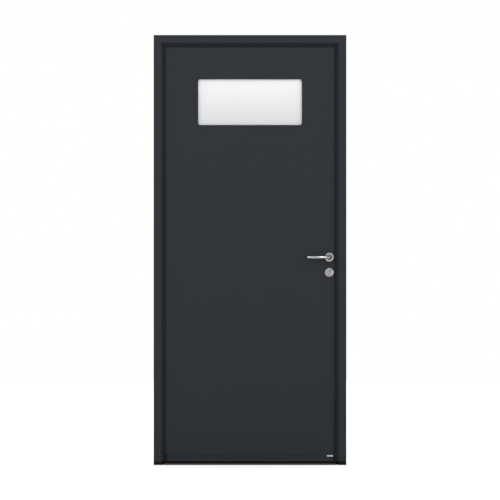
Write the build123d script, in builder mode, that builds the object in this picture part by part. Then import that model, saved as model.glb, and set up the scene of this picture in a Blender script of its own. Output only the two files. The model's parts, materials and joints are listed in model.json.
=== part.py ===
# Steel utility door: an insulated sheet-steel leaf with a small frosted light,
# hung in a welded steel frame over a low sill. It opens inwards, away from the
# side with the drip bar.
#
# Millimetres. +Z is up, +X is to the right seen from outside, -Y is outdoors.
# The origin is on the floor under the middle of the sill.
import os

from build123d import *

# opening in the wall, and the frame around it
clear_width = 900.0
clear_height = 2150.0
frame_face = 41.0
frame_depth = 70.0
frame_sheet = 2.0
frame_bend = 2.6
face_return = 5.0
slope = 12.0
nose_thickness = 3.0
rebate_wall_from_side = 34.0

# sill and the feet under the jambs
foot_height = 19.0
sill_height = 15.0
tread_height = 7.0
sill_wall = 2.0
sill_setback = 2.0
sill_ramp = 7.0
sill_ramp_foot = 9.0
sill_web_y = 10.0
tread_groove_width = 3.0
tread_groove_depth = 0.8
tread_groove_pitch = 6.5
tread_groove_count = 6

# leaf
leaf_thickness = 46.0
leaf_gap = 7.0
leaf_sheet = 1.0
leaf_bend = 1.8
leaf_break = 4.0
leaf_over_tread = 5.0

# seals between leaf and frame
seal_depth_gap = 0.3
seal_reach = 8.0
seal_bite = 8.0
seal_nose_rise = 1.0

# glazed light
light_width = 530.0
light_height = 234.0
light_below_top = 300.0
light_corner = 12.0
glass_bite = 16.0
glass_clearance = 4.0
rim_width = 4.0
rim_proud = 1.0
glazing_seal = 3.0
glass_outside_thickness = 6.0
glass_inside_thickness = 4.0
glass_space = 16.0
spacer_width = 11.0
bead_flange = 10.0
bead_flange_thickness = 2.0
bead_clearance = 2.0

# drip bar across the foot of the leaf
drip_height = 34.0
drip_over_sill = 5.0
drip_projection = 14.0
drip_crown = 8.0
drip_wall = 2.0
drip_groove_z = 10.0
drip_groove_height = 4.5
drip_groove_depth = 4.0
drip_lip_flare = 4.0
drip_lip_thickness = 2.4
drip_side_gap = 6.5
drip_cap = 9.0
drip_cap_shoulder = 8.0
drip_below_seal = 5.0

# lock
backset = 45.0
handle_z = 1059.0
lock_centres = 70.0
case_depth = 72.0
case_thickness = 15.0
case_above_handle = 60.0
case_below_handle = 125.0
faceplate_width = 20.0
faceplate_length = 270.0
faceplate_thickness = 3.0
latch_above_handle = 18.0
latch_height = 20.0
latch_thickness = 12.0
latch_length = 34.0
latch_proud = 1.0
latch_bevel = 6.0
bolt_below_handle = 42.0
bolt_height = 30.0
bolt_thickness = 11.0
bolt_length = 36.0
bolt_clearance = 0.3
strike_length = 170.0
strike_width = 30.0
strike_margin = 3.0

# key cylinder of the usual pear-shaped section
cylinder_radius = 8.5
cylinder_leg_width = 10.0
cylinder_total_height = 33.0
cylinder_proud = 1.5
cylinder_clearance = 0.25
keyway_width = 1.8
keyway_height = 8.0
keyway_depth = 6.0

# roses and levers
rose_diameter = 47.0
rose_thickness = 9.0
rose_edge = 1.5
neck_diameter = 19.0
neck_clearance = 0.3
neck_collar = 14.0
neck_start = 2.0
spindle_square = 8.0
spindle_in_lever = 24.0
spindle_hole_diameter = 14.0
neck_root_diameter = 17.0
elbow_diameter = 11.0
elbow_radius = 14.0
lever_projection = 52.0
lever_reach = 117.0
# distance from the spindle and diameter, along the swelling grip
grip_stations = ((45.0, 16.2), (73.0, 18.4))
grip_end_diameter = 14.4
grip_end_chamfer = 2.0

# hinges
hinge_from_bottom = 228.0
hinge_from_top = 220.0
hinge_length = 100.0
barrel_diameter = 20.0
barrel_stand_off = 2.0
hinge_pin_diameter = 9.0
hinge_pin_clearance = 0.08
knuckle_gap = 0.5
flap_thickness = 3.0
flap_width = 28.0
flap_from_axis = 7.0
strap_heel = 5.0
strap_toe = 14.0

# fixings
jamb_hole_diameter = 9.0
jamb_hole_from_end = 291.0
jamb_hole_spacing = 500.0
jamb_hole_from_back = 23.0
sill_hole_diameter = 7.0
sill_hole_spacing = 600.0
sill_hole_y = 22.0

# sizes that follow from the ones above
frame_width = clear_width + 2 * frame_face
frame_height = clear_height + frame_face
side_x = frame_width / 2
frame_front = -frame_depth / 2
frame_back = frame_depth / 2
nose_from_side = frame_face + slope
nose_front = frame_front + face_return + slope
stop_back = nose_front + nose_thickness
rebate_x = side_x - rebate_wall_from_side
nose_x = side_x - nose_from_side
low_holes = (jamb_hole_from_end, jamb_hole_from_end + jamb_hole_spacing)
high_holes = tuple(frame_height - z for z in low_holes)

leaf_back = frame_back
leaf_front = leaf_back - leaf_thickness
leaf_middle = (leaf_front + leaf_back) / 2
leaf_x = rebate_x - leaf_gap
leaf_width = 2 * leaf_x
leaf_top = frame_height - rebate_wall_from_side - leaf_gap
leaf_bottom = tread_height + leaf_over_tread
leaf_height = leaf_top - leaf_bottom
tray_depth = (leaf_thickness - leaf_break) / 2

seal_thickness = leaf_front - seal_depth_gap - stop_back

drip_bottom = sill_height + drip_over_sill
drip_top = drip_bottom + drip_height
drip_length = 2 * (nose_x - drip_side_gap)
seal_foot = drip_top + drip_below_seal

handle_x = leaf_x - backset
key_z = handle_z - lock_centres
key_rose_z = key_z - (cylinder_total_height / 2 - cylinder_radius)
latch_z = handle_z + latch_above_handle
bolt_z = handle_z - bolt_below_handle
strike_z = (latch_z + bolt_z) / 2
case_height = case_above_handle + case_below_handle
case_z = handle_z + (case_above_handle - case_below_handle) / 2
faceplate_z = case_z
case_back_x = leaf_x - faceplate_thickness - case_depth
case_front_x = leaf_x - faceplate_thickness

hinge_x = -(leaf_x + leaf_gap / 2)
hinge_y = leaf_back + barrel_stand_off + barrel_diameter / 2
hinge_low_z = leaf_bottom + hinge_from_bottom
hinge_top_z = leaf_top - hinge_from_top
hinge_heights = {"low": hinge_low_z, "middle": (hinge_low_z + hinge_top_z) / 2, "top": hinge_top_z}

light_centre_z = leaf_top - light_below_top
window_width = light_width + 2 * rim_width
window_height = light_height + 2 * rim_width
window_corner = light_corner + rim_width
glass_width = light_width + 2 * glass_bite
glass_height = light_height + 2 * glass_bite
pocket_width = glass_width + 2 * glass_clearance
pocket_height = glass_height + 2 * glass_clearance
glass_front = leaf_front + leaf_sheet + glazing_seal
spacer_front = glass_front + glass_outside_thickness
glass_inside_front = spacer_front + glass_space
glass_back = glass_inside_front + glass_inside_thickness
bead_front = glass_back + glazing_seal

os.makedirs("parts", exist_ok=True)


def save(name, piece):
    """Label a finished piece and write it to its own file."""
    piece.part.label = name
    export_step(piece.part, f"parts/{name}.step")


def upright(y):
    """The vertical plane across the door at depth y, drawn in X and Z."""
    return Plane.XZ.offset(-y)


def cross_section(x):
    """The vertical plane through the door at x, drawn in Y and Z."""
    return Plane.YZ.offset(x)


# The frame is one folded section all round: face, return, slope and stop, with the
# rebate for the leaf behind it. It is drawn as distance from the outer side and depth.
def frame_member(plane, length):
    """A straight length of the hollow frame section, from the plane onwards."""
    with BuildPart() as member:
        with BuildSketch(plane) as outline:
            with BuildLine():
                Polyline(
                    (0, frame_front),
                    (frame_face, frame_front),
                    (frame_face, frame_front + face_return),
                    (nose_from_side, nose_front),
                    (nose_from_side, stop_back),
                    (rebate_wall_from_side, stop_back),
                    (rebate_wall_from_side, frame_back),
                    (0, frame_back),
                    close=True,
                )
            make_face()
            rows = outline.vertices().group_by(Axis.Y)
            fillet(rows[0] + rows[-1], radius=frame_bend)
            offset(amount=-frame_sheet, kind=Kind.INTERSECTION, mode=Mode.SUBTRACT)
        extrude(amount=length)
    return member.part


def mitre(sign):
    """The mitre plane at a top corner, with the jamb on its upper side."""
    return Plane(origin=(sign * side_x, 0, frame_height), z_dir=(sign, 0, -1))


def drill_jamb(sign):
    """Holes for the long screws that fix one jamb to the wall, through both walls."""
    hole_y = frame_back - jamb_hole_from_back
    with Locations(*[(sign * side_x, hole_y, z) for z in low_holes + high_holes]):
        Cylinder(
            radius=jamb_hole_diameter / 2,
            height=2.5 * rebate_wall_from_side,
            rotation=(0, 90, 0),
            mode=Mode.SUBTRACT,
        )


left_section = Plane(origin=(-side_x, 0, foot_height), x_dir=(1, 0, 0), z_dir=(0, 0, 1))
right_section = Plane(origin=(side_x, 0, frame_height), x_dir=(-1, 0, 0), z_dir=(0, 0, -1))
head_section = Plane(origin=(-side_x, 0, frame_height), x_dir=(0, 0, -1), z_dir=(1, 0, 0))
jamb_length = frame_height - foot_height

with BuildPart() as jamb_left:
    add(frame_member(left_section, jamb_length))
    split(bisect_by=mitre(-1), keep=Keep.TOP)
    drill_jamb(-1)
save("jamb_left", jamb_left)

with BuildPart() as jamb_right:
    add(frame_member(right_section, jamb_length))
    split(bisect_by=mitre(1), keep=Keep.TOP)
    drill_jamb(1)
    with Locations((rebate_x, leaf_middle, strike_z)):
        Box(2 * frame_sheet, strike_width, strike_length, mode=Mode.SUBTRACT)
save("jamb_right", jamb_right)

with BuildPart() as frame_head:
    add(frame_member(head_section, frame_width))
    for sign in (-1, 1):
        split(bisect_by=mitre(sign), keep=Keep.BOTTOM)
save("frame_head", frame_head)

# The strike plate closes a window in the wall of the rebate, flush with it.
with BuildPart() as strike_plate:
    with Locations((rebate_x + frame_sheet / 2, leaf_middle, strike_z)):
        Box(frame_sheet, strike_width, strike_length)
    for height, thickness, z in (
        (latch_height, latch_thickness, latch_z),
        (bolt_height, bolt_thickness, bolt_z),
    ):
        with Locations((rebate_x, leaf_middle, z)):
            Box(
                4 * frame_sheet,
                thickness + 2 * strike_margin,
                height + 2 * strike_margin,
                mode=Mode.SUBTRACT,
            )
save("strike_plate", strike_plate)


# The feet are plastic blocks with the outline of the jamb, and a low tread that
# carries the sill's line on under the edge of the leaf.
def foot(sign, name):
    """The block under one jamb."""
    with BuildPart() as block:
        with BuildSketch(Plane.XY) as outline:
            with BuildLine():
                Polyline(
                    (sign * side_x, frame_front),
                    (sign * (side_x - frame_face), frame_front),
                    (sign * (side_x - frame_face), frame_front + face_return),
                    (sign * nose_x, nose_front),
                    (sign * nose_x, stop_back),
                    (sign * rebate_x, stop_back),
                    (sign * rebate_x, frame_back),
                    (sign * side_x, frame_back),
                    close=True,
                )
            make_face()
        extrude(amount=foot_height)
        with BuildSketch(Plane.XY) as pad:
            with Locations((sign * (rebate_x + nose_x) / 2, (stop_back + frame_back) / 2)):
                Rectangle(rebate_x - nose_x, frame_back - stop_back)
        extrude(amount=tread_height)
    save(name, block)


foot(-1, "foot_left")
foot(1, "foot_right")

# The sill is an extrusion with closed chambers: a ramp and upstand outside, which the
# leaf shuts against, and a grooved tread behind it that the leaf passes over.
sill_front = frame_front + sill_setback
tread_front = stop_back + sill_wall

with BuildPart() as sill:
    with BuildSketch(cross_section(-nose_x)) as outline:
        with BuildLine():
            Polyline(
                (sill_front, 0),
                (sill_front, sill_ramp_foot),
                (sill_front + sill_ramp, sill_height),
                (stop_back, sill_height),
                (stop_back, tread_height),
                (frame_back, tread_height),
                (frame_back, 0),
                close=True,
            )
        make_face()
        offset(amount=-sill_wall, kind=Kind.INTERSECTION, mode=Mode.SUBTRACT)
        for web_y in (stop_back, sill_web_y):
            with Locations((web_y, tread_height / 2)):
                Rectangle(sill_wall, tread_height)
        for index in range(tread_groove_count):
            groove_y = frame_back - (index + 1) * tread_groove_pitch
            with Locations((groove_y, tread_height - tread_groove_depth / 2)):
                Rectangle(tread_groove_width, tread_groove_depth, mode=Mode.SUBTRACT)
    extrude(amount=2 * nose_x)
    with Locations((-sill_hole_spacing / 2, sill_hole_y, 0), (sill_hole_spacing / 2, sill_hole_y, 0)):
        Cylinder(radius=sill_hole_diameter / 2, height=3 * tread_height, mode=Mode.SUBTRACT)
save("sill", sill)


# The seals sit on the back of the stops and reach past the nose, with a rounded lip.
def seal_member(plane, length):
    """A length of seal, drawn as distance from the outer side and depth."""
    lip = nose_from_side + seal_reach
    seal_back = stop_back + seal_thickness
    with BuildPart() as strip:
        with BuildSketch(plane):
            with BuildLine():
                Polyline(
                    (lip, stop_back + seal_thickness / 3),
                    (lip, seal_back),
                    (nose_from_side - seal_bite, seal_back),
                    (nose_from_side - seal_bite, stop_back),
                    (nose_from_side, stop_back),
                    (nose_from_side, stop_back - seal_nose_rise),
                )
                ThreePointArc(
                    (nose_from_side, stop_back - seal_nose_rise),
                    (nose_from_side + 0.7 * seal_reach, stop_back - 0.6 * seal_nose_rise),
                    (lip, stop_back + seal_thickness / 3),
                )
            make_face()
        extrude(amount=length)
    return strip.part


side_seal_length = frame_height - seal_foot

with BuildPart() as seal_left:
    add(seal_member(left_section.offset(seal_foot - foot_height), side_seal_length))
    split(bisect_by=mitre(-1), keep=Keep.TOP)
save("seal_left", seal_left)

with BuildPart() as seal_right:
    add(seal_member(right_section, side_seal_length))
    split(bisect_by=mitre(1), keep=Keep.TOP)
save("seal_right", seal_right)

with BuildPart() as seal_head:
    add(seal_member(head_section, frame_width))
    for sign in (-1, 1):
        split(bisect_by=mitre(sign), keep=Keep.BOTTOM)
save("seal_head", seal_head)

with BuildPart() as seal_sill:
    with BuildSketch(cross_section(-nose_x)):
        with Locations((stop_back, sill_height)):
            Rectangle(seal_thickness, sill_height - tread_height, align=(Align.MIN, Align.MAX))
    extrude(amount=2 * nose_x)
save("seal_sill", seal_sill)


# Hinges: a barrel clear of the leaf's inner face, on screwed flaps. The frame half has
# the outer knuckles and the pin, the leaf half the middle one.
def knuckle(sign, bottom, height):
    """One rolled knuckle with the strap that joins it to its flap."""
    centre = Plane(origin=(hinge_x, hinge_y, bottom), x_dir=(sign, 0, 0), z_dir=(0, 0, sign))
    flap_face = leaf_back - hinge_y
    flap_top = flap_face + flap_thickness
    with BuildSketch(centre) as outline:
        Circle(barrel_diameter / 2)
        with BuildLine():
            Polyline(
                (0, 0),
                (0, -barrel_diameter / 2),
                (strap_heel, flap_face),
                (strap_toe, flap_face),
                (strap_toe, flap_top),
                (barrel_diameter / 2, 0),
                close=True,
            )
        make_face()
    extrude(outline.sketch, amount=sign * height)


def flap(sign, centre_z):
    """The screwed plate of one half, flat on the frame or on the leaf."""
    middle_x = hinge_x + sign * (flap_from_axis + flap_width / 2)
    with Locations((middle_x, leaf_back + flap_thickness / 2, centre_z)):
        Box(flap_width, flap_thickness, hinge_length)


knuckle_length = (hinge_length - 2 * knuckle_gap) / 3

for place, centre_z in hinge_heights.items():
    foot_z = centre_z - hinge_length / 2
    pin = Location((hinge_x, hinge_y, centre_z))

    with BuildPart() as frame_half:
        flap(-1, centre_z)
        for bottom in (foot_z, foot_z + 2 * (knuckle_length + knuckle_gap)):
            knuckle(-1, bottom, knuckle_length)
        with Locations(pin):
            Cylinder(radius=hinge_pin_diameter / 2, height=hinge_length)
    save(f"hinge_{place}_frame_half", frame_half)

    with BuildPart() as leaf_half:
        flap(1, centre_z)
        knuckle(1, foot_z + knuckle_length + knuckle_gap, knuckle_length)
        with Locations(pin):
            Cylinder(
                radius=hinge_pin_diameter / 2 + hinge_pin_clearance,
                height=hinge_length,
                mode=Mode.SUBTRACT,
            )
    save(f"hinge_{place}_leaf_half", leaf_half)


# Cuts that go through the leaf's layers.
def pear(plug_x, plug_z, grow=0.0):
    """The pear-shaped outline of the key cylinder, drawn in X and Z."""
    leg_radius = cylinder_leg_width / 2
    leg_end = cylinder_total_height - cylinder_radius - leg_radius
    with Locations((plug_x, plug_z)):
        Circle(cylinder_radius + grow)
    with Locations((plug_x, plug_z - leg_end / 2)):
        Rectangle(cylinder_leg_width + 2 * grow, leg_end)
    with Locations((plug_x, plug_z - leg_end)):
        Circle(leg_radius + grow)


def outline_of_light(width, height, corner=0.0):
    """A rectangle centred on the light, with rounded corners where they show."""
    with BuildSketch(mode=Mode.PRIVATE) as outline:
        with Locations((0, light_centre_z)):
            if corner > 0:
                RectangleRounded(width, height, corner)
            else:
                Rectangle(width, height)
    return outline.sketch


def cut_window(*size):
    """The window through whatever is being built."""
    with BuildSketch(upright(leaf_back)) as window:
        add(outline_of_light(*size))
    extrude(window.sketch, amount=leaf_thickness, mode=Mode.SUBTRACT)


def cut_lock():
    """Holes for the spindle and the cylinder, and the slot for the faceplate."""
    with BuildSketch(upright(leaf_back)) as through:
        with Locations((handle_x, handle_z)):
            Circle(spindle_hole_diameter / 2)
        pear(handle_x, key_z, cylinder_clearance)
    extrude(through.sketch, amount=leaf_thickness, mode=Mode.SUBTRACT)
    with BuildSketch(cross_section(case_front_x)) as edge_slot:
        with Locations((leaf_middle, faceplate_z)):
            SlotOverall(faceplate_length, faceplate_width, rotation=90)
    extrude(edge_slot.sketch, amount=faceplate_thickness, mode=Mode.SUBTRACT)


def tray(front, window_size):
    """One folded skin of the leaf, from its lower depth; the open side is the other."""
    outer_face = leaf_front if front else leaf_back
    inward = 1 if front else -1
    with BuildPart() as skin:
        with BuildSketch(upright(outer_face)):
            with Locations((0, leaf_bottom + leaf_height / 2)):
                Rectangle(leaf_width, leaf_height)
        extrude(amount=-inward * tray_depth)
        rim = skin.faces().sort_by(Axis.Y)[0 if front else -1].edges()
        fillet(rim, radius=leaf_bend)
        with BuildSketch(upright(outer_face + inward * leaf_sheet)):
            with Locations((0, leaf_bottom + leaf_height / 2)):
                Rectangle(leaf_width - 2 * leaf_sheet, leaf_height - 2 * leaf_sheet)
        extrude(amount=-inward * tray_depth, mode=Mode.SUBTRACT)
        cut_window(*window_size)
        cut_lock()
    return skin


save("leaf_skin_outside", tray(True, (window_width, window_height, window_corner)))
save("leaf_skin_inside", tray(False, (pocket_width, pocket_height)))

# A plastic strip parts the two skins all round the edge.
with BuildPart() as leaf_edge_strip:
    with BuildSketch(upright(leaf_front + tray_depth)):
        with Locations((0, leaf_bottom + leaf_height / 2)):
            Rectangle(leaf_width, leaf_height)
            Rectangle(leaf_width - 2 * leaf_sheet, leaf_height - 2 * leaf_sheet, mode=Mode.SUBTRACT)
    extrude(amount=-leaf_break)
    cut_lock()
save("leaf_edge_strip", leaf_edge_strip)

with BuildPart() as leaf_core:
    with BuildSketch(upright(leaf_back - leaf_sheet)):
        with Locations((0, leaf_bottom + leaf_height / 2)):
            Rectangle(leaf_width - 2 * leaf_sheet, leaf_height - 2 * leaf_sheet)
    extrude(amount=leaf_thickness - 2 * leaf_sheet)
    cut_window(pocket_width, pocket_height)
    cut_lock()
    with Locations(((case_back_x + case_front_x) / 2, leaf_middle, case_z)):
        Box(case_depth, case_thickness, case_height, mode=Mode.SUBTRACT)
save("leaf_core", leaf_core)


# Glazing: a black rim shows outside, then pane, spacer, pane, seal and screwed bead.
def ring(outer_face, outer, inner, thickness):
    """A ring round the light, from its outdoor face inwards."""
    with BuildSketch(upright(outer_face)) as outline:
        add(outline_of_light(*outer))
        add(outline_of_light(*inner), mode=Mode.SUBTRACT)
    extrude(outline.sketch, amount=-thickness)


light_size = (light_width, light_height, light_corner)
glass_size = (glass_width, glass_height)
skin_inner = leaf_front + leaf_sheet

with BuildPart() as glazing_rim_outside:
    rim_front = leaf_front - rim_proud
    ring(rim_front, (window_width, window_height, window_corner), light_size, glass_front - rim_front)
    ring(skin_inner, glass_size, light_size, glass_front - skin_inner)
save("glazing_rim_outside", glazing_rim_outside)

for name, front, thickness in (
    ("glass_outside", glass_front, glass_outside_thickness),
    ("glass_inside", glass_inside_front, glass_inside_thickness),
):
    with BuildPart() as pane:
        with BuildSketch(upright(front)):
            add(outline_of_light(*glass_size))
        extrude(amount=-thickness)
    save(name, pane)

with BuildPart() as glass_spacer:
    spacer_inner = (glass_width - 2 * spacer_width, glass_height - 2 * spacer_width)
    ring(spacer_front, glass_size, spacer_inner, glass_space)
save("glass_spacer", glass_spacer)

with BuildPart() as glazing_seal_inside:
    ring(glass_back, glass_size, light_size, glazing_seal)
save("glazing_seal_inside", glazing_seal_inside)

with BuildPart() as glazing_bead_inside:
    bead_width = pocket_width - 2 * bead_clearance
    bead_height = pocket_height - 2 * bead_clearance
    flange_size = (pocket_width + 2 * bead_flange, pocket_height + 2 * bead_flange, light_corner)
    ring(bead_front, (bead_width, bead_height), light_size, leaf_back - bead_front)
    ring(leaf_back, flange_size, light_size, bead_flange_thickness)
    crown = glazing_bead_inside.faces().sort_by(Axis.Y)[-1].edges()
    chamfer(crown, length=bead_flange_thickness / 2)
save("glazing_bead_inside", glazing_bead_inside)


# The drip bar is an extrusion with a rounded crown, a groove and a flared lip that
# throws water clear of the sill. Plastic caps close its ends.
drip_face = leaf_front - drip_projection
groove_bottom = drip_bottom + drip_groove_z
groove_top = groove_bottom + drip_groove_height

with BuildPart() as drip_bar:
    with BuildSketch(cross_section(-drip_length / 2 + drip_cap)) as outline:
        with BuildLine():
            Polyline(
                (drip_face, drip_top - drip_crown),
                (drip_face, groove_top),
                (drip_face + drip_groove_depth, groove_top),
                (drip_face + drip_groove_depth, groove_bottom),
                (drip_face, groove_bottom),
                (drip_face - drip_lip_flare, drip_bottom),
                (drip_face - drip_lip_flare + drip_lip_thickness, drip_bottom),
                (drip_face + drip_lip_thickness, groove_bottom - drip_wall),
                (leaf_front - drip_wall, groove_bottom - drip_wall),
                (leaf_front - drip_wall, drip_bottom),
                (leaf_front, drip_bottom),
                (leaf_front, drip_top),
                (drip_face + drip_crown, drip_top),
            )
            RadiusArc(
                (drip_face + drip_crown, drip_top),
                (drip_face, drip_top - drip_crown),
                drip_crown,
            )
        make_face()
        with BuildLine():
            Polyline(
                (drip_face + drip_wall, drip_top - drip_crown),
                (drip_face + drip_wall, groove_top + drip_wall),
                (drip_face + drip_groove_depth + drip_wall, groove_top + drip_wall),
                (drip_face + drip_groove_depth + drip_wall, groove_bottom),
                (leaf_front - drip_wall, groove_bottom),
                (leaf_front - drip_wall, drip_top - drip_wall),
                (drip_face + drip_crown, drip_top - drip_wall),
            )
            RadiusArc(
                (drip_face + drip_crown, drip_top - drip_wall),
                (drip_face + drip_wall, drip_top - drip_crown),
                drip_crown - drip_wall,
            )
        make_face(mode=Mode.SUBTRACT)
    extrude(amount=drip_length - 2 * drip_cap)
save("drip_bar", drip_bar)

for name, sign in (("drip_cap_left", -1), ("drip_cap_right", 1)):
    with BuildPart() as cap:
        with BuildSketch(cross_section(sign * drip_length / 2)):
            with BuildLine():
                Polyline(
                    (drip_face, drip_top - drip_crown),
                    (drip_face, groove_bottom),
                    (drip_face - drip_lip_flare, drip_bottom),
                    (leaf_front, drip_bottom),
                    (leaf_front, drip_top),
                    (drip_face + drip_crown, drip_top),
                )
                RadiusArc(
                    (drip_face + drip_crown, drip_top),
                    (drip_face, drip_top - drip_crown),
                    drip_crown,
                )
            make_face()
        extrude(amount=-sign * drip_cap)
        with BuildSketch(upright(leaf_front)) as front_view:
            with Locations((0, drip_bottom - drip_height)):
                RectangleRounded(
                    drip_length,
                    2 * drip_height,
                    drip_cap_shoulder,
                    align=(Align.CENTER, Align.MIN),
                )
        extrude(amount=2 * drip_projection, mode=Mode.INTERSECT)
    save(name, cap)

# Lock: a case let into the core from the edge, its faceplate, and a latch and a bolt
# that lie drawn back in it.
with BuildPart() as lock_case:
    with Locations(((case_back_x + case_front_x) / 2, leaf_middle, case_z)):
        Box(case_depth, case_thickness, case_height)
    with BuildSketch(upright(leaf_back)):
        with Locations((handle_x, handle_z)):
            Circle(spindle_hole_diameter / 2)
        pear(handle_x, key_z, cylinder_clearance)
    extrude(amount=leaf_thickness, mode=Mode.SUBTRACT)
    for length, height, thickness, z in (
        (latch_length, latch_height, latch_thickness, latch_z),
        (bolt_length, bolt_height, bolt_thickness, bolt_z),
    ):
        with Locations((case_front_x, leaf_middle, z)):
            Box(
                length,
                thickness + 2 * bolt_clearance,
                height + 2 * bolt_clearance,
                align=(Align.MAX, Align.CENTER, Align.CENTER),
                mode=Mode.SUBTRACT,
            )
save("lock_case", lock_case)

with BuildPart() as lock_faceplate:
    with BuildSketch(cross_section(case_front_x)):
        with Locations((leaf_middle, faceplate_z)):
            SlotOverall(faceplate_length, faceplate_width, rotation=90)
        for height, thickness, z in (
            (latch_height, latch_thickness, latch_z),
            (bolt_height, bolt_thickness, bolt_z),
        ):
            with Locations((leaf_middle, z)):
                Rectangle(
                    thickness + 2 * bolt_clearance,
                    height + 2 * bolt_clearance,
                    mode=Mode.SUBTRACT,
                )
    extrude(amount=faceplate_thickness)
save("lock_faceplate", lock_faceplate)

with BuildPart() as latch:
    with BuildSketch(Plane.XY.offset(latch_z - latch_height / 2)):
        with BuildLine():
            Polyline(
                (case_front_x - latch_length, leaf_middle - latch_thickness / 2),
                (leaf_x + latch_proud, leaf_middle - latch_thickness / 2),
                (leaf_x + latch_proud - latch_bevel, leaf_middle + latch_thickness / 2),
                (case_front_x - latch_length, leaf_middle + latch_thickness / 2),
                close=True,
            )
        make_face()
    extrude(amount=latch_height)
save("latch", latch)

with BuildPart() as dead_bolt:
    with Locations((leaf_x, leaf_middle, bolt_z)):
        Box(
            bolt_length + faceplate_thickness,
            bolt_thickness,
            bolt_height,
            align=(Align.MAX, Align.CENTER, Align.CENTER),
        )
save("dead_bolt", dead_bolt)

rose_front = leaf_front - rose_thickness
cylinder_front = rose_front - cylinder_proud
cylinder_length = leaf_thickness + 2 * (rose_thickness + cylinder_proud)

with BuildPart() as key_cylinder:
    with BuildSketch(upright(cylinder_front)):
        pear(handle_x, key_z)
    extrude(amount=-cylinder_length)
    for face_y in (cylinder_front, cylinder_front + cylinder_length - keyway_depth):
        with Locations((handle_x, face_y, key_z)):
            Box(
                keyway_width,
                keyway_depth,
                keyway_height,
                align=(Align.CENTER, Align.MIN, Align.CENTER),
                mode=Mode.SUBTRACT,
            )
save("key_cylinder", key_cylinder)


# Roses: a plain disc with an eased edge on each face of the leaf, one pair round the
# lever's neck and one pair round the cylinder.
def rose(outside, centre_z, for_key):
    """One rose, on the outdoor or the indoor face."""
    face_y = leaf_front if outside else leaf_back
    outward = 1 if outside else -1
    with BuildPart() as disc:
        with BuildSketch(upright(face_y)):
            with Locations((handle_x, centre_z)):
                Circle(rose_diameter / 2)
        extrude(amount=outward * rose_thickness)
        rim = disc.faces().sort_by(Axis.Y)[0 if outside else -1].edges()
        chamfer(rim, length=rose_edge)
        with BuildSketch(upright(face_y)):
            if for_key:
                pear(handle_x, key_z, cylinder_clearance)
            else:
                with Locations((handle_x, centre_z)):
                    Circle(neck_diameter / 2 + neck_clearance)
        extrude(amount=outward * rose_thickness, mode=Mode.SUBTRACT)
    return disc


save("rose_outside", rose(True, handle_z, False))
save("rose_inside", rose(False, handle_z, False))
save("key_rose_outside", rose(True, key_rose_z, True))
save("key_rose_inside", rose(False, key_rose_z, True))

# Levers: a collar that turns in the rose, a tapering neck, a tight elbow and a round grip
# that swells towards its middle, drawn as half its outline and revolved.
neck_y = leaf_front - neck_start
collar_end_y = neck_y - neck_collar
grip_y = leaf_front - lever_projection
elbow_start_y = grip_y + elbow_radius
grip_start_x = handle_x - elbow_radius
tip_x = handle_x - lever_reach

with BuildPart() as lever_outside:
    with BuildSketch(Plane.XY.offset(handle_z)):
        with BuildLine():
            Polyline(
                (handle_x, elbow_start_y),
                (handle_x, neck_y),
                (handle_x + neck_diameter / 2, neck_y),
                (handle_x + neck_diameter / 2, collar_end_y),
                (handle_x + neck_root_diameter / 2, collar_end_y),
                (handle_x + elbow_diameter / 2, elbow_start_y),
                close=True,
            )
        make_face()
    revolve(axis=Axis((handle_x, 0, handle_z), (0, 1, 0)))
    with BuildLine(Plane.XY.offset(handle_z)) as bend:
        JernArc((handle_x, elbow_start_y), (0, -1), radius=elbow_radius, arc_size=-90)
    with BuildSketch(Plane(origin=(handle_x, elbow_start_y, handle_z), z_dir=(0, -1, 0))):
        Circle(elbow_diameter / 2)
    sweep(path=bend.wires()[0])
    with BuildSketch(Plane.XY.offset(handle_z)):
        with BuildLine():
            Polyline(
                (tip_x, grip_y),
                (grip_start_x, grip_y),
                (grip_start_x, grip_y + elbow_diameter / 2),
                *[(handle_x - distance, grip_y + width / 2) for distance, width in grip_stations],
                (tip_x + grip_end_chamfer, grip_y + grip_end_diameter / 2),
                (tip_x, grip_y + grip_end_diameter / 2 - grip_end_chamfer),
                (tip_x, grip_y),
            )
        make_face()
    revolve(axis=Axis((0, grip_y, handle_z), (1, 0, 0)))
    with Locations((handle_x, neck_y, handle_z)):
        Box(
            spindle_square,
            spindle_in_lever,
            spindle_square,
            align=(Align.CENTER, Align.MAX, Align.CENTER),
            mode=Mode.SUBTRACT,
        )
save("lever_outside", lever_outside)

with BuildPart() as lever_inside:
    add(mirror(lever_outside.part, about=upright(leaf_middle), mode=Mode.PRIVATE))
save("lever_inside", lever_inside)

with BuildPart() as spindle:
    with Locations((handle_x, leaf_middle, handle_z)):
        Box(
            spindle_square,
            leaf_thickness + 2 * (neck_start + spindle_in_lever),
            spindle_square,
        )
save("spindle", spindle)
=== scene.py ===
import json
import math

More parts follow.
